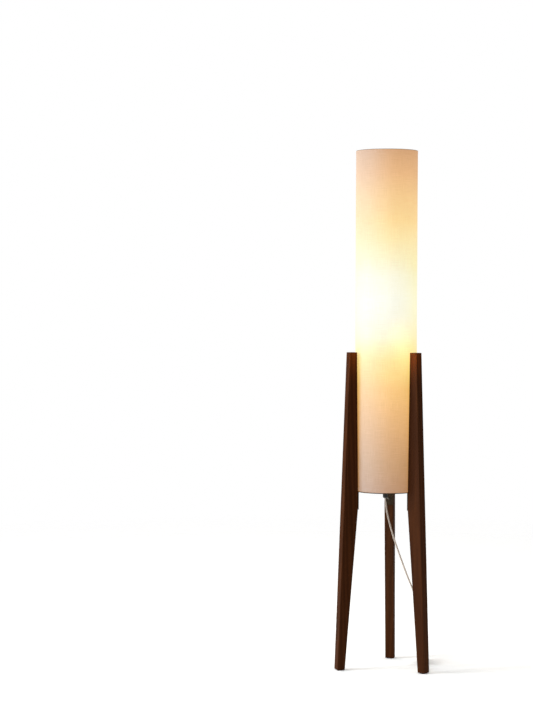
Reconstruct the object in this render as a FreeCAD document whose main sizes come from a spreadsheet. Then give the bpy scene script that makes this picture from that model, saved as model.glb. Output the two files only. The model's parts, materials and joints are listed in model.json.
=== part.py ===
"""Tripod floor lamp: a tall round shade held between three tapered wooden legs.

Millimetres, +Z up.  The origin is on the floor, on the axis of the shade.  One leg
stands on +Y and the two others at 210 and 330 degrees.
"""
import FreeCAD, Part
import math
import os
import Sketcher

Vector = FreeCAD.Vector
Rotation = FreeCAD.Rotation
Placement = FreeCAD.Placement

# Driving dimensions, in millimetres and degrees.
DIMENSIONS = {
    # shade
    "OverallHeight": 1400.0,
    "ShadeRadius": 83.5,
    "ShadeLow": 482.3,
    "FabricThickness": 0.6,
    "LinerThickness": 1.0,
    "RingWireRadius": 1.5,
    "RingRadius": 80.35,
    # legs, outlined by their distance from the axis
    "LegWidth": 25.0,
    "LegTop": 857.0,
    "LegTopOuter": 110.3,
    "LegTopInner": 88.6,
    "SeatTop": 484.0,
    "SeatRadius": 84.2,
    "KneeHeight": 431.5,
    "FootOuter": 141.7,
    "FootInner": 120.0,
    "FootHeight": 2.0,
    "LegRounding": 2.0,
    "EndRounding": 0.6,
    "PadWidth": 18.0,
    "PadDepth": 15.0,
    # pan that carries the shade, with its three tabs
    "PanTop": 482.0,
    "PanThickness": 2.0,
    "PanRadius": 82.4,
    "RimRadius": 78.5,
    "RimThickness": 1.6,
    "RimHeight": 12.0,
    "TabWidth": 24.0,
    "TabLow": 433.5,
    "TabThickness": 2.0,
    "BendRadius": 1.5,
    # wood screws
    "ScrewLow": 451.0,
    "ScrewHigh": 469.0,
    "ScrewRadius": 1.95,
    "ScrewHeadRadius": 3.8,
    "ScrewHeadHeight": 2.2,
    "ScrewReach": 20.0,
    "ScrewHoleRadius": 2.0,
    # stem and cord gland
    "TubeRadius": 6.0,
    "TubeLow": 488.2,
    "TubeHigh": 885.0,
    "NippleRadius": 5.0,
    "NippleBore": 3.6,
    "NippleClearance": 0.05,
    "NippleLap": 14.0,
    "NutRadius": 8.1,
    "NutHeight": 5.0,
    "WasherRadius": 11.0,
    "WasherThickness": 1.2,
    "GlandRadius": 6.4,
    "GlandLow": 461.0,
    # cord
    "CordRadius": 2.25,
    "CordBore": 2.3,
    "CoreRadius": 0.9,
    # bulb
    "BulbRadius": 30.0,
    "BulbCentre": 990.0,
    "BulbWall": 1.0,
    "BulbCapRadius": 13.2,
    "BulbNeckRadius": 12.0,
    # hank of cord behind the foot
    "HankLength": 90.0,
    "HankWidth": 31.5,
    "HankHeight": 31.5,
    "HankLow": 0.2,
    "TieWidth": 7.0,
    "TieThickness": 1.2,
    "WaistWidth": 27.0,
    "WaistHeight": 27.5,
    # switch on the cord
    "SwitchLength": 54.0,
    "SwitchWidth": 24.0,
    "SwitchHalf": 7.5,
    "SwitchWall": 1.6,
    "SwitchCorner": 5.0,
    "RockerHeight": 4.7,
    "RockerHalfLength": 7.8,
    "RockerWidth": 9.8,
    "RockerTilt": 8.0,
    "RockerGap": 0.3,
    # mains plug
    "PlugLength": 26.0,
    "PlugWidth": 24.0,
    "PlugHeight": 12.2,
    "PlugAxis": 6.3,
    "BladeSpacing": 12.7,
    "BladeThickness": 1.5,
    "BladeWidth": 6.35,
    "BladeReach": 17.0,
    "ReliefLength": 20.0,
}

LEG_ANGLES = {"left": 210.0, "right": 330.0, "rear": 90.0}

# The spare cord lies in a narrow strip behind the right foot.  Its places are given as
# (distance along the strip, distance to its right, height).
TRAIL_ORIGIN = Vector(111.0, -65.7, 0.0)
TRAIL_HEADING = 95.8
HANK_START = 108.0
SWITCH_PLACE = (72.0, -2.8, 91.0)
PLUG_START = 60.0

doc = FreeCAD.newDocument("tripod_floor_lamp")
sheet = doc.addObject("Spreadsheet::Sheet", "Dims")
pieces = []


def fill_sheet():
    """Writes each driving dimension in its own row, with its alias."""
    for row, (alias, size) in enumerate(DIMENSIONS.items(), start=1):
        sheet.set(f"A{row}", alias)
        sheet.set(f"B{row}", str(size))
        sheet.setAlias(f"B{row}", alias)
    doc.recompute()


def size_of(expression):
    """The value of a sheet expression, such as Dims.LegTop - 5."""
    found = sheet.evalExpression(str(expression))
    return float(getattr(found, "Value", found))


def keep(piece):
    """Lists an object as a sub-part, which is written to a file of its own."""
    pieces.append(piece)
    return piece


# ---------------------------------------------------------------- sketch helpers

def new_body(label):
    body = doc.addObject("PartDesign::Body", label)
    body.Label = label
    body.AllowCompound = True
    return body


def origin_feature(body, role):
    return next(item for item in body.Origin.OriginFeatures if item.Role == role)


def new_sketch(body, plane, offset="0"):
    """A sketch on one of the body's own planes, moved along the plane's normal."""
    sketch = body.newObject("Sketcher::SketchObject", body.Label + "_sketch")
    sketch.AttachmentSupport = [(origin_feature(body, plane), "")]
    sketch.MapMode = "FlatFace"
    sketch.setExpression("AttachmentOffset.Base.z", str(offset))
    return sketch


def pin_point(sketch, index, place, x, y):
    """Ties a point of the sketch to two sheet expressions."""
    for kind, text in (("DistanceX", x), ("DistanceY", y)):
        rule = Sketcher.Constraint(kind, -1, 1, index, place, size_of(text))
        number = sketch.addConstraint(rule)
        sketch.setExpression(f"Constraints[{number}]", str(text))


def draw_outline(sketch, corners):
    """Closes a polygon whose corners are pairs of sheet expressions."""
    first = sketch.GeometryCount
    count = len(corners)
    spots = [Vector(size_of(x), size_of(y), 0) for x, y in corners]
    for number in range(count):
        edge = Part.LineSegment(spots[number], spots[(number + 1) % count])
        sketch.addGeometry(edge)
    for number in range(count):
        following = first + (number + 1) % count
        sketch.addConstraint(Sketcher.Constraint("Coincident", first + number, 2, following, 1))
    for number, (x, y) in enumerate(corners):
        pin_point(sketch, first + number, 1, x, y)


def draw_rectangle(sketch, x_low, y_low, x_high, y_high):
    draw_outline(sketch, [(x_low, y_low), (x_high, y_low), (x_high, y_high), (x_low, y_high)])


def draw_circle(sketch, x, y, radius):
    spot = Vector(size_of(x), size_of(y), 0)
    index = sketch.addGeometry(Part.Circle(spot, Vector(0, 0, 1), size_of(radius)))
    pin_point(sketch, index, 3, x, y)
    number = sketch.addConstraint(Sketcher.Constraint("Radius", index, size_of(radius)))
    sketch.setExpression(f"Constraints[{number}]", str(radius))


def draw_axis(sketch, x_low, x_high, y):
    """A construction line along the sketch's first direction, to turn an outline about."""
    spots = [Vector(size_of(x), size_of(y), 0) for x in (x_low, x_high)]
    index = sketch.addGeometry(Part.LineSegment(*spots), True)
    pin_point(sketch, index, 1, x_low, y)
    pin_point(sketch, index, 2, x_high, y)


# --------------------------------------------------------------- feature helpers

def add_feature(body, kind, sketch):
    feature = body.newObject("PartDesign::" + kind, body.Label + "_" + kind.lower())
    feature.Profile = sketch
    return feature


def add_pad(body, sketch, length, symmetric=False, reverse=False):
    pad = add_feature(body, "Pad", sketch)
    pad.setExpression("Length", str(length))
    pad.SideType = "Symmetric" if symmetric else "One side"
    pad.Reversed = reverse
    doc.recompute()
    return pad


def add_pocket(body, sketch, length=None, reverse=False):
    """Cuts the sketch out to a depth, or right through both ways if no depth is given."""
    pocket = add_feature(body, "Pocket", sketch)
    if length is None:
        pocket.SideType = "Symmetric"
        pocket.Type = "ThroughAll"
    else:
        pocket.setExpression("Length", str(length))
        pocket.Reversed = reverse
    doc.recompute()
    return pocket


def add_turn(body, kind, sketch, axis="V_Axis"):
    """A Revolution or a Groove right round the given axis of the sketch."""
    feature = add_feature(body, kind, sketch)
    feature.ReferenceAxis = (sketch, [axis])
    feature.Angle = 360
    doc.recompute()
    return feature


def add_fillet(body, choose, radius):
    """Rounds the edges of the body's last feature that a test picks."""
    doc.recompute()
    base = body.Tip
    names = [f"Edge{n}" for n, edge in enumerate(base.Shape.Edges, start=1) if choose(edge)]
    fillet = body.newObject("PartDesign::Fillet", body.Label + "_fillet")
    fillet.Base = (base, names)
    fillet.setExpression("Radius", str(radius))
    doc.recompute()
    return fillet


def add_polar(body, originals, count):
    pattern = body.newObject("PartDesign::PolarPattern", body.Label + "_polar")
    pattern.Originals = originals
    pattern.Axis = (origin_feature(body, "Z_Axis"), [""])
    pattern.Angle = 360
    pattern.Occurrences = count
    body.Tip = pattern
    doc.recompute()
    return pattern


def turned(label, corners):
    """A piece turned about the lamp's axis from a polygon of (radius, height)."""
    body = keep(new_body(label))
    sketch = new_sketch(body, "XZ_Plane")
    draw_outline(sketch, corners)
    add_turn(body, "Revolution", sketch)
    return body


def turned_ring(label, inner, outer, low, high):
    return turned(label, [(inner, low), (outer, low), (outer, high), (inner, high)])


def primitive(kind, name, **sizes):
    """A Part primitive whose sizes are bound to sheet expressions."""
    shape = doc.addObject("Part::" + kind, name)
    for prop, text in sizes.items():
        shape.setExpression(prop, str(text))
    return shape


def move(piece, x="0", y="0", z="0"):
    """Binds the place of a primitive to sheet expressions."""
    for prop, text in (("x", x), ("y", y), ("z", z)):
        piece.setExpression("Placement.Base." + prop, str(text))
    return piece


def joined(label, members, kind="Part::MultiFuse"):
    whole = doc.addObject(kind, label)
    whole.Label = label
    if kind == "Part::Compound":
        whole.Links = members
    else:
        whole.Shapes = members
    return whole


def cut(label, base, tool):
    result = doc.addObject("Part::Cut", label)
    result.Label = label
    result.Base = base
    result.Tool = tool
    return result


def about_z(piece, angle):
    piece.Placement = Placement(Vector(), Rotation(Vector(0, 0, 1), angle))


def is_vertical(edge):
    return abs(abs(edge.tangentAt(edge.FirstParameter).z) - 1) < 1e-6


# ------------------------------------------------------------------- legs and feet

def is_long_corner(edge):
    """The leg's corners that run up it."""
    heights = [vertex.Z for vertex in edge.Vertexes]
    return max(heights) - min(heights) > 1


def is_end_rim(edge):
    """The rims of the leg's sawn ends."""
    ends = (size_of("Dims.FootHeight"), size_of("Dims.LegTop"))
    return any(all(abs(vertex.Z - end) < 1e-6 for vertex in edge.Vertexes) for end in ends)


def make_leg(name, angle):
    """One leg, drawn in the XZ plane and turned about the lamp's axis to its place."""
    body = keep(new_body("leg_" + name))
    sketch = new_sketch(body, "XZ_Plane")
    draw_outline(sketch, [
        ("Dims.FootInner", "Dims.FootHeight"),
        ("Dims.FootOuter", "Dims.FootHeight"),
        ("Dims.LegTopOuter", "Dims.LegTop"),
        ("Dims.LegTopInner", "Dims.LegTop"),
        ("Dims.SeatRadius", "Dims.SeatTop"),
        ("Dims.SeatRadius", "Dims.KneeHeight"),
    ])
    add_pad(body, sketch, "Dims.LegWidth", symmetric=True)
    add_fillet(body, is_long_corner, "Dims.LegRounding")
    add_fillet(body, is_end_rim, "Dims.EndRounding")
    for height in ("Dims.ScrewLow", "Dims.ScrewHigh"):
        hole = new_sketch(body, "XZ_Plane")
        start = "Dims.SeatRadius - 5"
        end = "Dims.SeatRadius + Dims.ScrewReach + 0.5"
        draw_rectangle(hole, start, height, end, f"{height} + Dims.ScrewHoleRadius")
        draw_axis(hole, start, end, height)
        add_turn(body, "Groove", hole, "Axis0")
    about_z(body, angle)


def make_foot_pad(name, angle):
    """Felt pad under one foot."""
    body = keep(new_body("foot_pad_" + name))
    sketch = new_sketch(body, "XY_Plane")
    middle = "(Dims.FootInner + Dims.FootOuter) / 2"
    draw_rectangle(sketch, f"{middle} - Dims.PadDepth / 2", "-Dims.PadWidth / 2",
                   f"{middle} + Dims.PadDepth / 2", "Dims.PadWidth / 2")
    add_pad(body, sketch, "Dims.FootHeight")
    add_fillet(body, is_vertical, 3)
    about_z(body, angle)


# ------------------------------------------------------------------ pan and screws

def make_pan():
    """Steel pan with an upstanding rim for the shade and three bent tabs for the legs."""
    body = keep(new_body("shade_pan"))
    bore = "Dims.NippleRadius + Dims.NippleClearance"
    low = "Dims.PanTop - Dims.PanThickness"
    rim_inner = "Dims.RimRadius - Dims.RimThickness"
    rim_top = "Dims.PanTop + Dims.RimHeight"
    disc = new_sketch(body, "XZ_Plane")
    draw_outline(disc, [
        (bore, low), ("Dims.PanRadius", low), ("Dims.PanRadius", "Dims.PanTop"),
        ("Dims.RimRadius", "Dims.PanTop"), ("Dims.RimRadius", rim_top),
        (rim_inner, rim_top), (rim_inner, "Dims.PanTop"), (bore, "Dims.PanTop"),
    ])
    add_turn(body, "Revolution", disc)
    tab = new_sketch(body, "XZ_Plane")
    tab_inner = "Dims.SeatRadius - Dims.TabThickness"
    draw_outline(tab, [
        ("Dims.RimRadius - 1", low), ("Dims.RimRadius - 1", "Dims.PanTop"),
        ("Dims.SeatRadius", "Dims.PanTop"), ("Dims.SeatRadius", "Dims.TabLow"),
        (tab_inner, "Dims.TabLow"), (tab_inner, low),
    ])
    repeated = [add_pad(body, tab, "Dims.TabWidth", symmetric=True)]
    for height in ("Dims.ScrewLow", "Dims.ScrewHigh"):
        hole = new_sketch(body, "XZ_Plane")
        draw_rectangle(hole, f"{tab_inner} - 3", height, "Dims.SeatRadius + 3",
                       f"{height} + Dims.ScrewHoleRadius")
        draw_axis(hole, f"{tab_inner} - 3", "Dims.SeatRadius + 3", height)
        repeated.append(add_turn(body, "Groove", hole, "Axis0"))
    add_polar(body, repeated, 3)

    def outer_bend(edge):
        spots = [vertex.Point for vertex in edge.Vertexes]
        if len(spots) < 2:
            return False
        corner = math.hypot(size_of("Dims.SeatRadius"), size_of("Dims.TabWidth") / 2)
        reach = all(abs(math.hypot(spot.x, spot.y) - corner) < 1e-4 for spot in spots)
        return reach and all(abs(spot.z - size_of("Dims.PanTop")) < 1e-6 for spot in spots)

    add_fillet(body, outer_bend, "Dims.BendRadius")
    about_z(body, LEG_ANGLES["rear"])


def make_leg_screws():
    """Six round-headed wood screws, two through each tab."""
    body = keep(new_body("leg_screws"))
    tab_inner = "Dims.SeatRadius - Dims.TabThickness"
    turns = []
    for height in ("Dims.ScrewLow", "Dims.ScrewHigh"):
        sketch = new_sketch(body, "XZ_Plane")
        head = f"{height} + Dims.ScrewHeadRadius"
        shank = f"{height} + Dims.ScrewRadius"
        tip = "Dims.SeatRadius + Dims.ScrewReach"
        draw_outline(sketch, [
            (f"{tab_inner} - Dims.ScrewHeadHeight", height),
            (f"{tab_inner} - Dims.ScrewHeadHeight", f"{height} + Dims.ScrewHeadRadius / 2"),
            (f"{tab_inner} - Dims.ScrewHeadHeight / 2", f"{height} + Dims.ScrewHeadRadius * 0.86"),
            (tab_inner, head), (tab_inner, shank), (f"{tip} - 4", shank),
            (tip, f"{height} + 0.3"), (tip, height),
        ])
        draw_axis(sketch, tab_inner, tip, height)
        turns.append(add_turn(body, "Revolution", sketch, "Axis0"))
    add_polar(body, turns, 3)
    about_z(body, LEG_ANGLES["rear"])


# ------------------------------------------------------------- stem, nuts and gland

def make_lock_nuts():
    """Two equal hexagon nuts: one clamps the pan, the other the lampholder's cap."""
    body = keep(new_body("lock_nuts"))
    bore = "Dims.NippleRadius + Dims.NippleClearance"
    lows = ("Dims.PanTop + Dims.WasherThickness", "Dims.TubeHigh + 9.6")
    for low in lows:
        sketch = new_sketch(body, "XY_Plane", low)
        corners = []
        for number in range(6):
            angle = math.radians(60 * number)
            corners.append((f"Dims.NutRadius * {math.cos(angle):.6f}",
                            f"Dims.NutRadius * {math.sin(angle):.6f}"))
        draw_outline(sketch, corners)
        draw_circle(sketch, "0", "0", bore)
        add_pad(body, sketch, "Dims.NutHeight")


def make_stem():
    clear_bore = "Dims.NippleRadius + Dims.NippleClearance"
    turned_ring("stem_tube", clear_bore, "Dims.TubeRadius", "Dims.TubeLow", "Dims.TubeHigh")
    turned_ring("nipple_lower", "Dims.NippleBore", "Dims.NippleRadius",
                "Dims.GlandLow + 9", "Dims.TubeLow + Dims.NippleLap")
    turned_ring("nipple_upper", "Dims.NippleBore", "Dims.NippleRadius",
                "Dims.TubeHigh - Dims.NippleLap", "Dims.TubeHigh + 15")
    turned_ring("pan_washer", clear_bore, "Dims.WasherRadius",
                "Dims.PanTop", "Dims.PanTop + Dims.WasherThickness")
    under_pan = "Dims.PanTop - Dims.PanThickness"
    turned("gland_body", [
        ("Dims.CordBore", "Dims.GlandLow"), ("Dims.GlandRadius - 1.8", "Dims.GlandLow"),
        ("Dims.GlandRadius", "Dims.GlandLow + 2"), ("Dims.GlandRadius", under_pan),
        (clear_bore, under_pan), (clear_bore, "Dims.GlandLow + 2.5"),
        ("Dims.CordBore", "Dims.GlandLow + 2.5"),
    ])
    turned_ring("gland_seal", "Dims.CordBore", "Dims.NippleRadius",
                "Dims.GlandLow + 2.5", "Dims.GlandLow + 8.5")


def make_inner_lead():
    """The cord's stretch through the gland and the stem, and its two bared cores."""
    lead_top = "Dims.TubeHigh + 14"
    body = keep(new_body("inner_lead"))
    sketch = new_sketch(body, "XY_Plane", "Dims.GlandLow")
    draw_circle(sketch, "0", "0", "Dims.CordRadius")
    add_pad(body, sketch, f"{lead_top} - Dims.GlandLow")
    cores = []
    for side in (-1, 1):
        core = primitive("Cylinder", "holder_core", Radius="Dims.CoreRadius", Height="7.2")
        tilt = Rotation(Vector(0, 1, 0), 68 * side)
        core.Placement = Placement(Vector(1.3 * side, 0, size_of(lead_top) + 1.1), tilt)
        cores.append(core)
    keep(joined("holder_cores", cores, "Part::Compound"))


# ------------------------------------------------------------------------ lampholder

def above_tube(offset):
    return f"Dims.TubeHigh + {offset}"


def make_holder():
    bore = "Dims.NippleRadius + Dims.NippleClearance"
    turned("holder_cap", [
        (bore, above_tube(0)), ("8.5", above_tube(0)), ("8.5", above_tube(5)),
        ("14.5", above_tube(7)), ("18.5", above_tube(12)), ("18.5", above_tube(24)),
        ("16.5", above_tube(24)), ("16.5", above_tube(13)), ("13.5", above_tube(9.5)),
        (bore, above_tube(9.5)),
    ])
    turned_ring("holder_insert", "3.2", "16.3", above_tube(20), above_tube(26))
    turned("holder_shell", [
        ("18.55", above_tube(18)), ("20.3", above_tube(18)), ("20.3", above_tube(56)),
        ("19.3", above_tube(59)), ("16.2", above_tube(59)), ("16.2", above_tube(28.5)),
        ("14.6", above_tube(28.5)), ("14.6", above_tube(26.05)), ("16.4", above_tube(26.05)),
        ("16.4", above_tube(24.2)), ("18.55", above_tube(24.2)),
    ])
    turned("holder_thread", [
        ("8", above_tube(26.05)), ("14.3", above_tube(26.05)), ("14.3", above_tube(26.7)),
        ("13.9", above_tube(26.7)), ("13.9", above_tube(54)),
        ("Dims.BulbCapRadius + 0.1", above_tube(54)),
        ("Dims.BulbCapRadius + 0.1", above_tube(26.7)), ("8", above_tube(26.7)),
    ])
    tongue = keep(new_body("holder_tongue"))
    sketch = new_sketch(tongue, "XZ_Plane")
    draw_outline(sketch, [
        ("-7.5", above_tube(26.0)), ("-3", above_tube(26.0)), ("3.5", above_tube(30)),
        ("3.5", above_tube(30.5)), ("-3.2", above_tube(26.5)), ("-7.5", above_tube(26.5)),
    ])
    add_pad(tongue, sketch, "5", symmetric=True)
    blocks = keep(new_body("holder_terminals"))
    for side in (-1, 1):
        sketch = new_sketch(blocks, "XY_Plane", above_tube(15))
        draw_rectangle(sketch, f"{11 * side} - 2.5", "-3", f"{11 * side} + 2.5", "3")
        add_pad(blocks, sketch, "5")
        neck = new_sketch(blocks, "XZ_Plane")
        draw_circle(neck, f"{11 * side}", above_tube(17.5), "1.3")
        add_pad(blocks, neck, "9", symmetric=True)


# ------------------------------------------------------------------------------ bulb

def bulb_form(name, inset):
    """Pear-shaped bulb: a ball, a cone that leaves it smoothly, and a straight neck."""
    lean = 35
    ball = f"(Dims.BulbRadius - {inset})"
    neck = f"(Dims.BulbNeckRadius - {inset})"
    wide = f"{ball} * cos({lean})"
    cone_top = f"Dims.BulbCentre - {ball} * sin({lean})"
    cone_height = f"({wide} - {neck}) / tan({lean})"
    neck_low = f"Dims.TubeHigh + 52 - 0.01 * {inset}"
    sphere = primitive("Sphere", name + "_ball", Radius=ball)
    move(sphere, z="Dims.BulbCentre")
    cone = primitive("Cone", name + "_cone", Radius1=neck, Radius2=wide, Height=cone_height)
    move(cone, z=f"{cone_top} - {cone_height}")
    straight = primitive("Cylinder", name + "_neck", Radius=neck,
                         Height=f"{cone_top} - {cone_height} - ({neck_low})")
    move(straight, z=neck_low)
    return joined(name, [sphere, cone, straight])


def make_bulb():
    keep(cut("bulb_glass", bulb_form("bulb_outside", "0"),
             bulb_form("bulb_inside", "Dims.BulbWall")))
    turned("bulb_cap", [
        ("11", above_tube(36.5)), ("Dims.BulbCapRadius - 0.9", above_tube(36.5)),
        ("Dims.BulbCapRadius", above_tube(38)), ("Dims.BulbCapRadius", above_tube(58)),
        ("Dims.BulbNeckRadius + 0.05", above_tube(58)),
        ("Dims.BulbNeckRadius + 0.05", above_tube(39)), ("11", above_tube(37.5)),
    ])
    turned("bulb_insulator", [
        ("0", above_tube(32.4)), ("4.8", above_tube(32.4)), ("11", above_tube(36.5)),
        ("11", above_tube(38)), ("0", above_tube(38)),
    ])
    turned("bulb_tip", [
        ("0", above_tube(30.9)), ("3.4", above_tube(30.9)), ("4.6", above_tube(31.6)),
        ("4.6", above_tube(32.4)), ("0", above_tube(32.4)),
    ])
    turned("bulb_stem", [
        ("0", above_tube(38)), ("8", above_tube(38)), ("5", above_tube(56)),
        ("3", above_tube(84)), ("0", above_tube(84)),
    ])
    parts = []
    for side in (-1, 1):
        post = primitive("Cylinder", "filament_post", Radius="0.5", Height="21")
        lean = Rotation(Vector(0, 1, 0), 24 * side)
        post.Placement = Placement(Vector(1.6 * side, 0, size_of(above_tube(84.2))), lean)
        parts.append(post)
    arc = primitive("Torus", "filament_arc", Radius1="10", Radius2="0.5", Angle3="180")
    move(arc, z=above_tube(102))
    parts.append(arc)
    keep(joined("bulb_filament", parts))


# ----------------------------------------------------------------------------- shade

def make_shade():
    outer = "Dims.ShadeRadius"
    middle = "Dims.ShadeRadius - Dims.FabricThickness"
    inner = "Dims.ShadeRadius - Dims.FabricThickness - Dims.LinerThickness"
    turned_ring("shade_fabric", middle, outer, "Dims.ShadeLow", "Dims.OverallHeight")
    turned_ring("shade_liner", inner, middle, "Dims.ShadeLow", "Dims.OverallHeight - 0.5")
    heights = {
        "shade_ring_bottom": "Dims.ShadeLow + Dims.RingWireRadius + 0.3",
        "shade_ring_top": "Dims.OverallHeight - Dims.RingWireRadius - 1",
    }
    for label, height in heights.items():
        ring = primitive("Torus", label, Radius1="Dims.RingRadius", Radius2="Dims.RingWireRadius")
        ring.Label = label
        keep(move(ring, z=height))


# ---------------------------------------------------- the strip behind the right foot

def trail(along, right, height):
    """A point of the strip, in the lamp's own frame."""
    heading = math.radians(TRAIL_HEADING)
    forward = Vector(math.cos(heading), math.sin(heading), 0)
    side = Vector(math.sin(heading), -math.cos(heading), 0)
    return TRAIL_ORIGIN + forward * along + side * right + Vector(0, 0, height)


def trail_placement(along, right, height):
    """A place in the strip whose X runs away from the foot and whose Z is up."""
    turn = Rotation(Vector(0, 0, 1), TRAIL_HEADING)
    return Placement(trail(along, right, height), turn)


LEAD_POINTS = [
    Vector(0, 0, 461), Vector(1.8, 0.1, 437), Vector(11.0, 0.6, 395), Vector(24.5, 1.4, 350),
    Vector(41.0, 2.3, 303), Vector(60.0, 3.3, 252), Vector(79.0, 4.4, 206),
    Vector(94.0, 5.25, 171), trail(72, -2.8, 142), trail(72, -2.8, 114),
]
BEND_POINTS = [
    trail(72, -2.8, 68), trail(72, -2.8, 51.2), trail(80, -2.4, 37.4),
    trail(93.9, -1.4, 29.4), trail(HANK_START, 0, 29.2),
]
TAIL_POINTS = [
    trail(HANK_START, 0, 2.6), trail(98.5, 0, 2.8), trail(89.3, 0, 6.3),
    trail(PLUG_START + 20, 0, 6.3),
]


def cord_tube(label, points):
    """A round cord along straight runs that are joined by tangent arcs."""
    edges = []
    start = points[0]
    radii = []
    for before, corner, after in zip(points, points[1:], points[2:]):
        back = (before - corner).normalize()
        ahead = (after - corner).normalize()
        turn = math.pi - back.getAngle(ahead)
        reach = 0.45 * min((before - corner).Length, (after - corner).Length)
        radii.append(reach / math.tan(turn / 2))
        arc_start = corner + back * reach
        arc_end = corner + ahead * reach
        bulge = (back + ahead).normalize()
        sagitta = radii[-1] * (1 / math.cos(turn / 2) - 1)
        edges.append(Part.LineSegment(start, arc_start).toShape())
        edges.append(Part.Arc(arc_start, corner + bulge * sagitta, arc_end).toShape())
        start = arc_end
    edges.append(Part.LineSegment(start, points[-1]).toShape())
    path = Part.Wire(edges)
    radius = size_of("Dims.CordRadius")
    section = Part.Wire(Part.makeCircle(radius, points[0], points[1] - points[0]))
    solid = path.makePipeShell([section], True, False)
    expected = math.pi * radius ** 2 * path.Length
    print(label, "length", round(path.Length, 1), "radii", [round(size) for size in radii],
          "volume ratio", round(solid.Volume / expected, 4))
    feature = doc.addObject("Part::Feature", label)
    feature.Label = label
    feature.Shape = solid
    keep(feature)


def make_hank():
    """The tied bundle of spare cord: a slot-shaped block with a narrow waist."""
    straight = "Dims.HankLength - Dims.HankWidth"
    block = primitive("Box", "hank_block", Length=straight, Width="Dims.HankWidth",
                      Height="Dims.HankHeight")
    move(block, x="Dims.HankWidth / 2", y="-Dims.HankWidth / 2")
    ends = []
    for name, spot in (("near", "Dims.HankWidth / 2"), ("far", f"Dims.HankWidth / 2 + {straight}")):
        end = primitive("Cylinder", f"hank_{name}_end", Radius="Dims.HankWidth / 2",
                        Height="Dims.HankHeight")
        ends.append(move(end, x=spot))
    whole = joined("hank_whole", [block] + ends)
    slot = band("hank_groove", "Dims.TieWidth + 0.6", "Dims.HankWidth + 2", "Dims.HankHeight + 2")
    hank = keep(cut("cord_hank", whole, slot))
    hank.Placement = trail_placement(HANK_START, 0, size_of("Dims.HankLow"))
    tie = keep(band("hank_tie", "Dims.TieWidth", "Dims.WaistWidth + 2 * Dims.TieThickness",
                    "Dims.WaistHeight + 2 * Dims.TieThickness"))
    tie.Placement = trail_placement(HANK_START, 0, size_of("Dims.HankLow"))


def band(label, width, across, height):
    """A rectangular loop round the hank's waist."""
    outer = primitive("Box", label + "_outer", Length=width, Width=across, Height=height)
    inner = primitive("Box", label + "_inner", Length=f"{width} + 2", Width="Dims.WaistWidth",
                      Height="Dims.WaistHeight")
    middle = "Dims.HankLength / 2"
    centre = "Dims.HankHeight / 2"
    move(outer, f"{middle} - ({width}) / 2", f"-({across}) / 2", f"{centre} - ({height}) / 2")
    move(inner, f"{middle} - ({width}) / 2 - 1", "-Dims.WaistWidth / 2",
         f"{centre} - Dims.WaistHeight / 2")
    return cut(label, outer, inner)


# ---------------------------------------------------------------------- cord switch

def switch_placement():
    """The switch hangs on the cord: its X runs down and its Z away from the foot."""
    hang = Rotation(Vector(0, 1, 0), 90)
    level = Rotation(Vector(0, 0, 1), TRAIL_HEADING)
    return Placement(trail(*SWITCH_PLACE), level.multiply(hang))


def make_switch_half(label, is_cover):
    """One moulded half of the switch, open towards the other at their shared plane."""
    body = keep(new_body(label))
    outside = new_sketch(body, "XY_Plane")
    draw_rectangle(outside, "-Dims.SwitchLength / 2", "-Dims.SwitchWidth / 2",
                   "Dims.SwitchLength / 2", "Dims.SwitchWidth / 2")
    add_pad(body, outside, "Dims.SwitchHalf", reverse=not is_cover)
    add_fillet(body, is_vertical, "Dims.SwitchCorner")
    face = size_of("Dims.SwitchHalf") * (1 if is_cover else -1)

    def outer_rim(edge):
        return all(abs(vertex.Z - face) < 1e-6 for vertex in edge.Vertexes)

    add_fillet(body, outer_rim, 2)
    inside = new_sketch(body, "XY_Plane")
    half_length = "(Dims.SwitchLength / 2 - Dims.SwitchWall - 2.4)"
    half_width = "(Dims.SwitchWidth / 2 - Dims.SwitchWall)"
    draw_rectangle(inside, f"-{half_length}", f"-{half_width}", half_length, half_width)
    add_pocket(body, inside, "Dims.SwitchHalf - Dims.SwitchWall", reverse=is_cover)
    entry = new_sketch(body, "YZ_Plane")
    draw_circle(entry, "0", "0", "Dims.CordBore")
    add_pocket(body, entry)
    if is_cover:
        window = new_sketch(body, "XY_Plane")
        draw_rectangle(window, "-Dims.RockerHalfLength - 1.2", "-Dims.RockerWidth / 2 - Dims.RockerGap",
                       "Dims.RockerHalfLength + 1.2", "Dims.RockerWidth / 2 + Dims.RockerGap")
        add_pocket(body, window, "Dims.SwitchHalf + 1", reverse=True)
    bosses = new_sketch(body, "XY_Plane")
    for side in (-1, 1):
        draw_circle(bosses, f"{18 * side}", f"{7.6 * side}", "2.6")
    add_pad(body, bosses, "Dims.SwitchHalf - Dims.SwitchWall / 2", reverse=not is_cover)
    holes = new_sketch(body, "XY_Plane")
    for side in (-1, 1):
        draw_circle(holes, f"{18 * side}", f"{7.6 * side}", "1.3")
    depth = "Dims.SwitchHalf - Dims.SwitchWall" if is_cover else "Dims.SwitchHalf + 1"
    add_pocket(body, holes, depth, reverse=is_cover)
    body.Placement = switch_placement()


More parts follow.
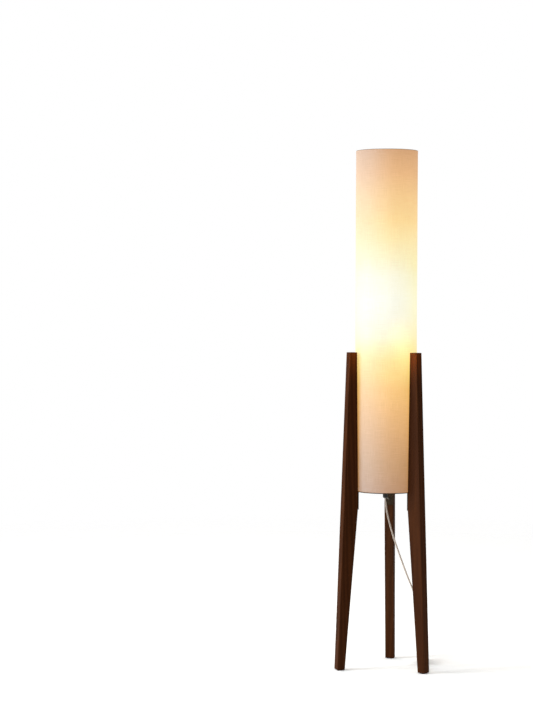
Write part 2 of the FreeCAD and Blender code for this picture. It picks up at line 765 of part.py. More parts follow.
def make_switch():
    make_switch_half("switch_base", False)
    make_switch_half("switch_cover", True)
    screws = keep(new_body("switch_screws"))
    for side in (-1, 1):
        shank = new_sketch(screws, "XY_Plane", "-Dims.SwitchHalf")
        draw_circle(shank, f"{18 * side}", f"{7.6 * side}", "1.25")
        add_pad(screws, shank, "Dims.SwitchHalf + 5")
        head = new_sketch(screws, "XY_Plane", "-Dims.SwitchHalf")
        draw_circle(head, f"{18 * side}", f"{7.6 * side}", "2.4")
        add_pad(screws, head, "1", reverse=True)
    contacts = keep(new_body("switch_contacts"))
    for side in (-1, 1):
        sketch = new_sketch(contacts, "XZ_Plane")
        draw_outline(sketch, [
            (f"{10 * side}", "-5.9"), (f"{10 * side}", "-5.3"), (f"{5.3 * side}", "-5.3"),
            (f"{5.3 * side}", "-0.8"), (f"{4.7 * side}", "-0.8"), (f"{4.7 * side}", "-5.9"),
        ])
        add_pad(contacts, sketch, "4", symmetric=True)
    cores = keep(new_body("switch_cores"))
    through = new_sketch(cores, "YZ_Plane", "-22.9")
    draw_circle(through, "3.4", "-3", "Dims.CoreRadius")
    add_pad(cores, through, "45.8")
    for start in ("-22.9", "10.2"):
        stub = new_sketch(cores, "YZ_Plane", start)
        draw_circle(stub, "-0.8", "-4.4", "Dims.CoreRadius")
        add_pad(cores, stub, "12.7")
    rocker = keep(new_body("switch_rocker"))
    profile = new_sketch(rocker, "XZ_Plane")
    draw_outline(profile, [
        ("-Dims.RockerHalfLength", "3"), ("Dims.RockerHalfLength", "3"),
        ("Dims.RockerHalfLength", "9.2"), ("0", "8.2"), ("-Dims.RockerHalfLength", "9.2"),
    ])
    add_pad(rocker, profile, "Dims.RockerWidth", symmetric=True)
    pivot = new_sketch(rocker, "XZ_Plane")
    draw_circle(pivot, "0", "Dims.RockerHeight", "1.05")
    add_pocket(rocker, pivot)
    blade = keep(new_body("switch_blade"))
    strip = new_sketch(blade, "XZ_Plane")
    draw_outline(strip, [
        ("-6.5", "0.6"), ("-6.5", "1.1"), ("-2", "2.5"), ("-2", "3"), ("2", "3"), ("2", "2.5"),
        ("6.5", "1.1"), ("6.5", "0.6"), ("1.8", "2"), ("-1.8", "2"),
    ])
    add_pad(blade, strip, "3", symmetric=True)
    pin = keep(new_body("rocker_pin"))
    round_bar = new_sketch(pin, "XZ_Plane")
    draw_circle(round_bar, "0", "Dims.RockerHeight", "1")
    add_pad(pin, round_bar, "Dims.SwitchWidth - 2 * Dims.SwitchWall", symmetric=True)
    hang = switch_placement()
    centre = Vector(0, 0, size_of("Dims.RockerHeight"))
    tilt = Placement(Vector(), Rotation(Vector(0, 1, 0), -size_of("Dims.RockerTilt")), centre)
    for piece in (screws, contacts, cores, pin):
        piece.Placement = hang
    for piece in (rocker, blade):
        piece.Placement = hang.multiply(tilt)


# ------------------------------------------------------------------------------ plug

def blade_pair(label):
    """The two flat blades, or the slots that hold them in the moulding."""
    boxes = []
    for side in (-1, 1):
        blade = primitive("Box", label + "_box", Length="Dims.BladeReach + 8",
                          Width="Dims.BladeThickness", Height="Dims.BladeWidth")
        move(blade, "Dims.PlugLength - 8",
             f"{side} * Dims.BladeSpacing / 2 - Dims.BladeThickness / 2", "-Dims.BladeWidth / 2")
        boxes.append(blade)
    return joined(label, boxes, "Part::Compound")


def make_plug():
    """Flat two-blade plug; its blades point back at the foot."""
    place = trail_placement(PLUG_START, 0, size_of("Dims.PlugAxis"))
    turned_round = Placement(Vector(), Rotation(Vector(0, 0, 1), 180))
    blades = keep(blade_pair("plug_blades"))
    moulding = new_body("plug_moulding")
    outline = new_sketch(moulding, "XY_Plane")
    draw_outline(outline, [
        ("0", "-Dims.PlugWidth / 2 + 5"), ("7", "-Dims.PlugWidth / 2 + 1.6"),
        ("15", "-Dims.PlugWidth / 2 + 2.2"), ("20", "-Dims.PlugWidth / 2"),
        ("Dims.PlugLength", "-Dims.PlugWidth / 2"), ("Dims.PlugLength", "Dims.PlugWidth / 2"),
        ("20", "Dims.PlugWidth / 2"), ("15", "Dims.PlugWidth / 2 - 2.2"),
        ("7", "Dims.PlugWidth / 2 - 1.6"), ("0", "Dims.PlugWidth / 2 - 5"),
    ])
    add_pad(moulding, outline, "Dims.PlugHeight", symmetric=True)

    def long_rim(edge):
        return all(abs(abs(vertex.Z) - size_of("Dims.PlugHeight") / 2) < 1e-6
                   for vertex in edge.Vertexes)

    add_fillet(moulding, long_rim, 1.5)
    plug_body = keep(cut("plug_body", moulding, blade_pair("plug_slots")))
    relief = primitive("Cone", "plug_relief", Radius1="3", Radius2="5", Height="Dims.ReliefLength")
    relief.Label = "plug_relief"
    keep(relief)
    lie_down = Placement(Vector(-size_of("Dims.ReliefLength"), 0, 0), Rotation(Vector(0, 1, 0), 90))
    relief.Placement = place.multiply(turned_round).multiply(lie_down)
    plug_body.Placement = place.multiply(turned_round)
    blades.Placement = place.multiply(turned_round)


# ----------------------------------------------------------------------------- output

def check_and_write():
    """Stops on any failed object or bad shape, then writes one file for each piece."""
    doc.recompute()
    for item in doc.Objects:
        if {"Invalid", "Error"} & set(item.State):
            raise RuntimeError(f"{item.Name} failed: {item.State}")
    for piece in pieces:
        if piece.Shape.isNull() or not piece.Shape.isValid() or not piece.Shape.Solids:
            raise RuntimeError(f"{piece.Label} has no valid solid")
    os.makedirs("parts", exist_ok=True)
    for piece in pieces:
        piece.Shape.exportStep(f"parts/{piece.Label}.step")
    print(len(pieces), "pieces written")


fill_sheet()
for leg_name, leg_angle in LEG_ANGLES.items():
    make_leg(leg_name, leg_angle)
    make_foot_pad(leg_name, leg_angle)
make_pan()
make_leg_screws()
make_lock_nuts()
make_stem()
make_inner_lead()
make_holder()
make_bulb()
make_shade()
cord_tube("cord_lead", LEAD_POINTS)
cord_tube("cord_bend", BEND_POINTS)
cord_tube("cord_tail", TAIL_POINTS)
make_hank()
make_switch()
make_plug()
check_and_write()
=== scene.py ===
"""Looks of the tripod floor lamp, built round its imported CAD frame. Lengths are in metres."""

import json
import math
import random

import bpy
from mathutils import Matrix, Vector


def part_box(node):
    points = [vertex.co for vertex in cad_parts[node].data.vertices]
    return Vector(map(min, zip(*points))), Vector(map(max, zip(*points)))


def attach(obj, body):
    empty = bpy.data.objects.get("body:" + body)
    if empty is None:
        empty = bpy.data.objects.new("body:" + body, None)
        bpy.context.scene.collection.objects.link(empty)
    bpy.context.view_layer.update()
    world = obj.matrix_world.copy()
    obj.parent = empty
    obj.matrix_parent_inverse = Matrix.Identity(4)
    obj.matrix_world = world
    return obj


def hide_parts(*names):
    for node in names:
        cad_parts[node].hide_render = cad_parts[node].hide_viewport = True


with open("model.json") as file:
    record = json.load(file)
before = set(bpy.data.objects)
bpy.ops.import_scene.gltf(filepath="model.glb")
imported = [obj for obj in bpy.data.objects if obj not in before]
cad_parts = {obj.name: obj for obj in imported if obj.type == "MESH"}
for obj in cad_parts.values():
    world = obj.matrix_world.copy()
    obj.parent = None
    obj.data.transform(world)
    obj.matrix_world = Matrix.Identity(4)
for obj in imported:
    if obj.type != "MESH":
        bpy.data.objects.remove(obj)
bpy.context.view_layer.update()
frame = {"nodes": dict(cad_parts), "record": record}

MM = 0.001
SCENE = bpy.context.scene
NODES = frame["nodes"]

# ------------------------------------------------------------------------------ camera

# In front of the lamp, a little to its right and above its middle, looking nearly level.
CAMERA_SPOT = (0.619, -5.031, 0.995)
CAMERA_TURN = [math.radians(degrees) for degrees in (88.32, -0.20, 10.68)]
LENS_MM = 94.6
SENSOR_MM = 36.0


def link(item):
    SCENE.collection.objects.link(item)
    return item


def make_camera():
    data = bpy.data.cameras.new("view")
    data.lens = LENS_MM
    data.sensor_width = SENSOR_MM
    data.clip_end = 100
    camera = link(bpy.data.objects.new("view", data))
    camera.location = CAMERA_SPOT
    camera.rotation_euler = CAMERA_TURN
    SCENE.camera = camera


make_camera()

# ------------------------------------------------------------------------------- cords

# The put-away cord lies on a strip of floor that runs back from the right foot.
TRAIL_ORIGIN = Vector((0.1110, -0.0657, 0))
TRAIL_HEADING = math.radians(95.8)
CORD_DIAMETER = 0.0045


def trail(along, right, height):
    """A point of that strip: millimetres along it, to the right of its middle, and up."""
    forward = Vector((math.cos(TRAIL_HEADING), math.sin(TRAIL_HEADING), 0))
    side = Vector((math.sin(TRAIL_HEADING), -math.cos(TRAIL_HEADING), 0))
    return TRAIL_ORIGIN + (forward * along + side * right + Vector((0, 0, height))) * MM


LEAD_POINTS = [
    Vector((0, 0, 0.461)), Vector((0.0018, 0.0001, 0.437)), Vector((0.0110, 0.0006, 0.395)),
    Vector((0.0245, 0.0014, 0.350)), Vector((0.0410, 0.0023, 0.303)),
    Vector((0.0600, 0.0033, 0.252)), Vector((0.0790, 0.0044, 0.206)),
    Vector((0.0940, 0.00525, 0.171)), trail(72, -2.8, 142), trail(72, -2.8, 114),
]
BEND_POINTS = [
    trail(72, -2.8, 68), trail(72, -2.8, 51.2), trail(80, -2.4, 37.4),
    trail(93.9, -1.4, 29.4), trail(108, 0, 29.2),
]
TAIL_POINTS = [
    trail(108, 0, 2.6), trail(98.5, 0, 2.8), trail(89.3, 0, 6.3), trail(80, 0, 6.3),
]

# The hank, in the trail's millimetres. It has a fold at each end and a waist under its tie.
HANK_TURNS = 7
HANK_TOP = 29.2
HANK_BOTTOM = 2.6
HANK_MIDDLE = 15.95
FOLD_RADIUS = 13.5
FOLD_POINTS = 6
NEAR_FOLD = 123.75
FAR_FOLD = 182.25
NEAR_FOLD_STRAY = (-0.2, 1.2)
FAR_FOLD_STRAY = (-1.4, 0.2)
NEAR_FOLD_LEAD = 2.5
FAR_FOLD_LEAD = 1.5
NEAR_SHOULDER = 136.5
FAR_SHOULDER = 169.5
SHOULDER_SIDE = 12.9
WAIST = (147, 159)
WAIST_SQUEEZE = 0.865
WIDE_WAIST = 11.2
NARROW_WAIST = 9.1
HANK_ENTRY = ((114, 0.5), (121, 3.2), (129, 7.6), (137, 11.4))
DROP_DELAY = 0.07
DROP_SPAN = 0.65


def smooth_step(low, high, value):
    share = min(1.0, max(0.0, (value - low) / (high - low)))
    return share * share * (3 - 2 * share)


def waist_point(along, side, turn, height):
    """A point of a run where the tie pinches it; runs nest by turns wide and narrow."""
    across = WIDE_WAIST if turn % 2 == 0 else NARROW_WAIST
    squeezed = HANK_MIDDLE + (height - HANK_MIDDLE) * WAIST_SQUEEZE
    return trail(along, side * across, squeezed)


def fold_points(centre, towards, start_side, heights):
    """Control points of a half circle round (centre, 0), from one run across to the other."""
    reach = FOLD_RADIUS / math.cos(math.pi / 2 / FOLD_POINTS)
    made = []
    for step in range(FOLD_POINTS):
        angle = math.pi * (step + 0.5) / FOLD_POINTS
        along = centre + towards * reach * math.sin(angle)
        across = start_side * reach * math.cos(angle)
        made.append(trail(along, across, heights(angle / math.pi)))
    return made


def hank_points():
    """The put-away length: long narrow turns, each one lower than the last."""
    chance = random.Random(7)
    drop = (HANK_TOP - HANK_BOTTOM) / (HANK_TURNS - 1)
    made = []
    for turn in range(HANK_TURNS):
        height = HANK_TOP - drop * turn
        far = FAR_FOLD + chance.uniform(*FAR_FOLD_STRAY)
        near = NEAR_FOLD + chance.uniform(*NEAR_FOLD_STRAY)
        if turn == 0:
            made += [trail(along, side, height) for along, side in HANK_ENTRY]
        else:
            made.append(trail(NEAR_FOLD + NEAR_FOLD_LEAD, FOLD_RADIUS, height))
            made.append(trail(NEAR_SHOULDER, SHOULDER_SIDE, height))
        made += [waist_point(along, 1, turn, height) for along in WAIST]
        made.append(trail(FAR_SHOULDER, SHOULDER_SIDE, height))
        made.append(trail(far - FAR_FOLD_LEAD, FOLD_RADIUS, height))
        made += fold_points(far, 1, 1, lambda share: height)
        made.append(trail(far - FAR_FOLD_LEAD, -FOLD_RADIUS, height))
        made.append(trail(FAR_SHOULDER, -SHOULDER_SIDE, height))
        made += [waist_point(along, -1, turn, height) for along in reversed(WAIST)]
        if turn == HANK_TURNS - 1:
            made += [trail(along, -side, height) for along, side in reversed(HANK_ENTRY)]
        else:
            made.append(trail(NEAR_SHOULDER, -SHOULDER_SIDE, height))
            made.append(trail(NEAR_FOLD + NEAR_FOLD_LEAD, -FOLD_RADIUS, height))
            begin = DROP_DELAY * turn
            made += fold_points(
                near, -1, -1, lambda share: height - drop * smooth_step(begin, begin + DROP_SPAN, share))
    return made


def make_cord(name, points):
    data = bpy.data.curves.new(name, "CURVE")
    data.dimensions = "3D"
    data.bevel_depth = CORD_DIAMETER / 2
    data.bevel_resolution = 5
    data.resolution_u = 8
    data.use_fill_caps = True
    spline = data.splines.new("NURBS")
    spline.points.add(len(points) - 1)
    for slot, point in zip(spline.points, points):
        slot.co = (*point, 1)
    spline.order_u = 3
    spline.use_endpoint_u = True
    spline.use_smooth = True
    return link(bpy.data.objects.new(name, data))


lead_cord = make_cord("cord_to_switch", LEAD_POINTS)
long_cord = make_cord("cord_to_plug", BEND_POINTS + hank_points() + TAIL_POINTS)

# --------------------------------------------------------------------------- materials


# Nearly all of a noise lies between these two values.
NOISE_LOW = 0.3
NOISE_HIGH = 0.7

# Sockets of the Mix node while it mixes colours.
MIX_SHARE, MIX_FIRST, MIX_SECOND = 0, 6, 7
MIX_RESULT = 2


class Paint:
    """Builds one node material, with patterns read from the piece's own coordinates."""

    def __init__(self, name):
        self.material = bpy.data.materials.new(name)
        self.material.use_nodes = True
        self.tree = self.material.node_tree
        self.tree.nodes.clear()
        self.output = self.add("ShaderNodeOutputMaterial")
        self.shader = self.add("ShaderNodeBsdfPrincipled")
        self.join(self.shader.outputs["BSDF"], self.output.inputs["Surface"])
        self.spot = self.add("ShaderNodeTexCoord").outputs["Object"]

    def add(self, kind, values=None, **settings):
        node = self.tree.nodes.new(kind)
        for key, value in settings.items():
            setattr(node, key, value)
        for key, value in (values or {}).items():
            self.put(value, node.inputs[key])
        return node

    def join(self, output, socket):
        self.tree.links.new(output, socket)

    def put(self, value, socket):
        """Links the value if it is a node's output, and sets it as a constant if not."""
        if isinstance(value, bpy.types.NodeSocket):
            self.join(value, socket)
        else:
            socket.default_value = value

    def set(self, **values):
        """Constants straight on the shader's sockets; names use _ for a blank."""
        for key, value in values.items():
            self.shader.inputs[key.replace("_", " ")].default_value = value
        return self

    def stretched(self, scale, spot=None):
        values = {"Vector": spot or self.spot, "Scale": scale}
        return self.add("ShaderNodeMapping", values).outputs["Vector"]

    def noise(self, scale, detail=4.0, roughness=0.55, spot=None):
        """Noise value; scale is a number or one number for each axis, in waves per metre."""
        if not hasattr(scale, "__len__"):
            scale = (scale, scale, scale)
        node = self.add("ShaderNodeTexNoise", {
            "Vector": self.stretched(scale, spot), "Scale": 1.0, "Detail": detail,
            "Roughness": roughness})
        return node.outputs["Fac"]

    def math(self, operation, first, second=0.0, third=0.0):
        node = self.add("ShaderNodeMath", operation=operation)
        for socket, value in zip(node.inputs, (first, second, third)):
            self.put(value, socket)
        return node.outputs["Value"]

    def spread(self, value, low, high, new_low, new_high):
        node = self.add("ShaderNodeMapRange", {
            "Value": value, "From Min": low, "From Max": high,
            "To Min": new_low, "To Max": new_high})
        return node.outputs["Result"]

    def ramp(self, value, stops):
        """Colour by value; stops are pairs of a value and its colour, in rising order."""
        node = self.add("ShaderNodeValToRGB", {"Fac": value})
        elements = node.color_ramp.elements
        while len(elements) < len(stops):
            elements.new(0.5)
        for element, stop in zip(elements, stops):
            element.position = stop[0]
        for element, stop in zip(elements, stops):
            element.color = (*stop[1], 1)
        return node.outputs["Color"]

    def between(self, noise, low, high):
        """A number that goes from low to high over the range of a noise."""
        return self.spread(noise, NOISE_LOW, NOISE_HIGH, low, high)

    def tint(self, noise, dark, light):
        """A colour that goes from dark to light over the range of a noise."""
        return self.ramp(noise, [(NOISE_LOW, dark), (NOISE_HIGH, light)])

    def mix(self, share, first, second, blend="MIX"):
        node = self.add("ShaderNodeMix", data_type="RGBA", blend_type=blend)
        self.put(share, node.inputs[MIX_SHARE])
        for index, colour in ((MIX_FIRST, first), (MIX_SECOND, second)):
            self.put((*colour, 1) if isinstance(colour, tuple) else colour, node.inputs[index])
        return node.outputs[MIX_RESULT]

    def bump(self, height, depth, under=None):
        """Relief of that depth in metres, on top of the relief under it."""
        values = {"Height": height, "Distance": depth}
        if under is not None:
            values["Normal"] = under
        return self.add("ShaderNodeBump", values).outputs["Normal"]

    def feed(self, **sockets):
        for key, value in sockets.items():
            self.join(value, self.shader.inputs[key.replace("_", " ")])
        return self


def mottled(name, dark, light, rough, patch=60, grain=2500, grain_depth=0.00002, **constants):
    """A surface with soft patches of colour, fine grain in its gloss and a slight relief."""
    paint = Paint(name)
    patches = paint.noise(patch, detail=5)
    fine = paint.noise(grain, detail=3)
    both = paint.math("MULTIPLY_ADD", fine, 0.35, paint.math("MULTIPLY", patches, 0.65))
    colour = paint.ramp(both, [(0.32, dark), (0.68, light)])
    paint.feed(Base_Color=colour, Roughness=paint.between(both, *rough),
               Normal=paint.bump(fine, grain_depth))
    return paint.set(**constants)


def brushed(name, dark, light, rough, waves=(7200, 7200, 900)):
    """Bare metal with fine streaks; they run along Z unless waves says otherwise."""
    paint = Paint(name)
    streaks = paint.noise(waves, detail=3)
    patches = paint.noise(70, detail=4)
    both = paint.math("MULTIPLY_ADD", streaks, 0.5, paint.math("MULTIPLY", patches, 0.5))
    paint.feed(Base_Color=paint.tint(both, dark, light), Roughness=paint.between(both, *rough),
               Normal=paint.bump(streaks, 0.000004))
    return paint.set(Metallic=1.0)


def walnut(name, offset):
    """Dark oiled walnut: long grain, growth bands, fine pores and edges worn a little paler."""
    paint = Paint(name)
    moved = paint.add("ShaderNodeMapping", {"Vector": paint.spot, "Location": offset})
    paint.spot = moved.outputs["Vector"]
    bend = paint.noise((7, 7, 1.6), detail=3)
    bands = paint.add("ShaderNodeTexWave", {
        "Vector": paint.stretched((34, 42, 1.5)), "Scale": 1.0, "Distortion": 6.5,
        "Detail": 3.0, "Detail Scale": 1.4, "Detail Roughness": 0.6}, wave_type="BANDS",
        bands_direction="DIAGONAL").outputs["Fac"]
    fibre = paint.noise((420, 420, 9), detail=5, roughness=0.65)
    pores = paint.noise((1500, 1500, 38), detail=2)
    pore_mask = paint.spread(pores, 0.60, 0.72, 0.0, 1.0)
    tone = paint.math("MULTIPLY_ADD", bands, 0.26, paint.math("MULTIPLY", bend, 0.34))
    tone = paint.math("MULTIPLY_ADD", fibre, 0.40, tone)
    colour = paint.ramp(tone, [
        (0.26, (0.031, 0.0082, 0.0018)), (0.45, (0.040, 0.0110, 0.0026)),
        (0.60, (0.050, 0.0141, 0.0034)), (0.80, (0.064, 0.0195, 0.0054))])
    colour = paint.mix(paint.math("MULTIPLY", pore_mask, 0.5), colour, (0.016, 0.006, 0.003))
    edges = paint.add("ShaderNodeNewGeometry").outputs["Pointiness"]
    worn = paint.math("MULTIPLY", paint.spread(edges, 0.51, 0.56, 0.0, 0.25), fibre)
    colour = paint.mix(worn, colour, (0.15, 0.070, 0.034))
    relief = paint.bump(fibre, 0.00005)
    relief = paint.bump(paint.math("SUBTRACT", 1.0, pore_mask), 0.00007, under=relief)
    paint.feed(Base_Color=colour, Roughness=paint.between(fibre, 0.50, 0.64), Normal=relief)
    return paint.set(Specular_IOR_Level=0.03)


CLOTH_LOW, CLOTH_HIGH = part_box("shade_fabric")

# Heights above the floor, and the colour of the lit shade at each.
GLOW_LOW = 0.45
GLOW_HIGH = 1.43
GLOW = [
    (0.482, (0.385, 0.168, 0.045)), (0.510, (0.415, 0.188, 0.050)), (0.560, (0.475, 0.228, 0.060)),
    (0.620, (0.585, 0.288, 0.078)), (0.700, (0.755, 0.393, 0.100)), (0.760, (0.850, 0.480, 0.112)),
    (0.800, (0.890, 0.600, 0.158)), (0.835, (0.905, 0.680, 0.220)), (0.870, (0.915, 0.770, 0.375)),
    (0.900, (0.900, 0.815, 0.560)), (0.950, (0.880, 0.855, 0.700)), (1.000, (0.880, 0.870, 0.735)),
    (1.060, (0.880, 0.845, 0.645)), (1.110, (0.895, 0.795, 0.470)), (1.160, (0.905, 0.715, 0.325)),
    (1.210, (0.895, 0.612, 0.225)), (1.277, (0.835, 0.510, 0.185)), (1.335, (0.725, 0.390, 0.142)),
    (1.375, (0.630, 0.325, 0.115)), (1.400, (0.570, 0.280, 0.100)),
]


def glow_colour(paint, gain=1.0):
    """The lit shade's colour by height above the floor, so it stays put when the shade lifts."""
    place = paint.add("ShaderNodeNewGeometry").outputs["Position"]
    height = paint.add("ShaderNodeSeparateXYZ", {"Vector": place}).outputs["Z"]
    share = paint.spread(height, GLOW_LOW, GLOW_HIGH, 0.0, 1.0)
    span = GLOW_HIGH - GLOW_LOW
    scaled = [((z - GLOW_LOW) / span, tuple(gain * part for part in colour)) for z, colour in GLOW]
    return paint.ramp(share, scaled)


# Painted light on the cloth: where its glow is painted yellower or dimmer, by angle round the shade and
# distance from the bulb's height.
BRIGHTEST_SIDE = math.radians(-98)
YELLOW_FROM = math.radians(25)
YELLOW_FULL = math.radians(78)
MOST_YELLOW = 0.65
BULB_HEIGHT = 0.99
YELLOW_REACH = (0.10, 0.17)
# The side the left lamp lights, where the glow is painted dimmer, and how much of it is left there.
DIMMED_GLOW_SIDE = math.radians(-150)
DIMMED_GLOW_SHARE = 0.88


def yellower_glow_side(paint, angle, height):
    """Painted light: how much yellower the cloth's glow is beside the bulb at rest, away from its
    brightest side.
    """
    turned = paint.math("COSINE", paint.math("SUBTRACT", angle, BRIGHTEST_SIDE))
    away = paint.spread(turned, math.cos(YELLOW_FROM), math.cos(YELLOW_FULL), 0.0, MOST_YELLOW)
    off = paint.math("ABSOLUTE", paint.math("SUBTRACT", height, BULB_HEIGHT))
    beside = paint.spread(off, *YELLOW_REACH, 1.0, 0.0)
    return paint.math("MULTIPLY", away, beside)


# Spacing of the threads, and how far below the cloth's top its dark rim begins and is full.
THREAD = 0.00062
DARK_RIM = (0.0013, 0.0009)


def shade_linen(name):
    """Cream cloth of plain weave, lit from inside; single threads and slubs vary the glow."""
    paint = Paint(name)
    axes = paint.add("ShaderNodeSeparateXYZ", {"Vector": paint.spot})
    x, y, z = (axes.outputs[k] for k in "XYZ")
    angle = paint.math("ARCTAN2", y, x)
    round_it = paint.math("MULTIPLY", angle, CLOTH_HIGH.x)
    warp = paint.math("SINE", paint.math("MULTIPLY", round_it, math.pi / THREAD))
    weft = paint.math("SINE", paint.math("MULTIPLY", z, math.pi / THREAD))
    weave = paint.math("MULTIPLY", warp, weft)
    unrolled = paint.add("ShaderNodeCombineXYZ", {"X": round_it, "Z": z}).outputs["Vector"]
    weft_slubs = paint.noise((26, 26, 1100), detail=3, spot=unrolled)
    warp_slubs = paint.noise((1100, 26, 26), detail=3, spot=unrolled)
    slubs = paint.math("ADD", weft_slubs, warp_slubs)
    cloud = paint.noise(9, detail=3)

    # Angle from the side where the glow is painted dimmer.
    dimmed_glow_side = paint.math("COSINE", paint.math("SUBTRACT", angle, DIMMED_GLOW_SIDE))
    light = paint.spread(slubs, 0.8, 1.2, 0.955, 1.035)
    light = paint.math("MULTIPLY", light, paint.between(cloud, 0.97, 1.03))
    light = paint.math("MULTIPLY", light, paint.spread(weave, -1.0, 1.0, 0.985, 1.015))
    # Painted light: the glow is painted dimmer on the side the left lamp lights.
    light = paint.math("MULTIPLY", light, paint.spread(dimmed_glow_side, 0.4, 1.0, 1.0, DIMMED_GLOW_SHARE))
    grey = paint.add("ShaderNodeCombineColor", {"Red": light, "Green": light, "Blue": light})

    rim = paint.spread(z, CLOTH_HIGH.z - DARK_RIM[0], CLOTH_HIGH.z - DARK_RIM[1], 0.0, 1.0)
    glow = glow_colour(paint)
    # Painted light: the glow is painted yellower away from its brightest side, beside the bulb.
    glow = paint.mix(yellower_glow_side(paint, angle, z), glow, (1.0, 0.955, 0.62), "MULTIPLY")
    glow = paint.mix(rim, glow, (0.05, 0.03, 0.02))
    glow = paint.mix(1.0, glow, grey.outputs["Color"], "MULTIPLY")
    colour = paint.ramp(paint.spread(slubs, 0.7, 1.3, 0.0, 1.0), [
        (0.2, (0.142, 0.148, 0.155)), (0.8, (0.182, 0.190, 0.199))])
    colour = paint.mix(rim, colour, (0.075, 0.045, 0.025))

    relief = paint.bump(paint.math("MULTIPLY", weave, 0.5), 0.00008)
    relief = paint.bump(slubs, 0.00012, under=relief)
    paint.feed(Base_Color=colour, Emission_Color=glow, Normal=relief)
    return paint.set(Roughness=0.62, Emission_Strength=1.0, Sheen_Weight=0.15,
                     Sheen_Roughness=0.35, Specular_IOR_Level=0.25)


def shade_backing(name):
    """Milky plastic backing of the cloth, seen from inside, flooded with the bulb's light."""
    paint = Paint(name)
    patches = paint.noise(30, detail=3)
    fine = paint.noise(1800, detail=2)
    paint.feed(Base_Color=paint.tint(patches, (0.74, 0.70, 0.63), (0.82, 0.79, 0.72)),
               Emission_Color=glow_colour(paint, gain=0.75),
               Roughness=paint.between(patches, 0.38, 0.52),
               Normal=paint.bump(fine, 0.00003))
    return paint.set(Emission_Strength=1.0)


def opal_glass(name):
    """Coated bulb glass, alight and dimmer towards its neck; greyed, to show against white."""
    paint = Paint(name)
    height = paint.add("ShaderNodeSeparateXYZ", {"Vector": paint.spot}).outputs["Z"]
    low, high = (corner.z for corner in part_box("bulb_glass"))
    share = paint.spread(height, low, high, 0.0, 1.0)
    cloud = paint.noise(45, detail=3)
    share = paint.math("MULTIPLY_ADD", cloud, 0.06, share)
    glow = paint.ramp(share, [(0.0, (0.35, 0.17, 0.06)), (0.35, (0.80, 0.54, 0.26)),
                              (0.75, (0.92, 0.76, 0.46)), (1.0, (0.86, 0.64, 0.33))])
    skin = paint.noise(900, detail=2)
    paint.feed(Emission_Color=glow, Normal=paint.bump(skin, 0.000003),
               Roughness=paint.between(cloud, 0.10, 0.20),
               Base_Color=paint.tint(cloud, (0.34, 0.32, 0.28), (0.40, 0.38, 0.34)))
    return paint.set(Emission_Strength=0.7, Coat_Weight=0.6, Coat_Roughness=0.05)


def clear_glass(name):
    """Drawn glass, slightly rippled."""
    paint = Paint(name)
    ripples = paint.noise(160, detail=2)
    paint.feed(Normal=paint.bump(ripples, 0.00004),
               Roughness=paint.between(ripples, 0.02, 0.07),
               Base_Color=paint.tint(ripples, (0.93, 0.95, 0.94), (0.98, 0.99, 0.98)))
    return paint.set(Transmission_Weight=1.0, IOR=1.5)


def glowing_wire(name):
    """Glowing wire, uneven along its length."""
    paint = Paint(name)
    coils = paint.noise((300, 300, 2600), detail=2)
    paint.feed(Emission_Color=paint.tint(coils, (1.0, 0.55, 0.20), (1.0, 0.72, 0.36)),
               Base_Color=paint.tint(coils, (0.30, 0.27, 0.24), (0.42, 0.38, 0.33)),
               Normal=paint.bump(coils, 0.00002))
    return paint.set(Emission_Strength=9.0, Roughness=0.4)


# Where in the grain each leg is cut from, as an offset in metres.
WALNUTS = {
    "leg_left": (0.31, 0.12, 0.4),
    "leg_right": (0.77, 0.53, 1.3),
    "leg_rear": (1.21, 0.94, 2.2),
}

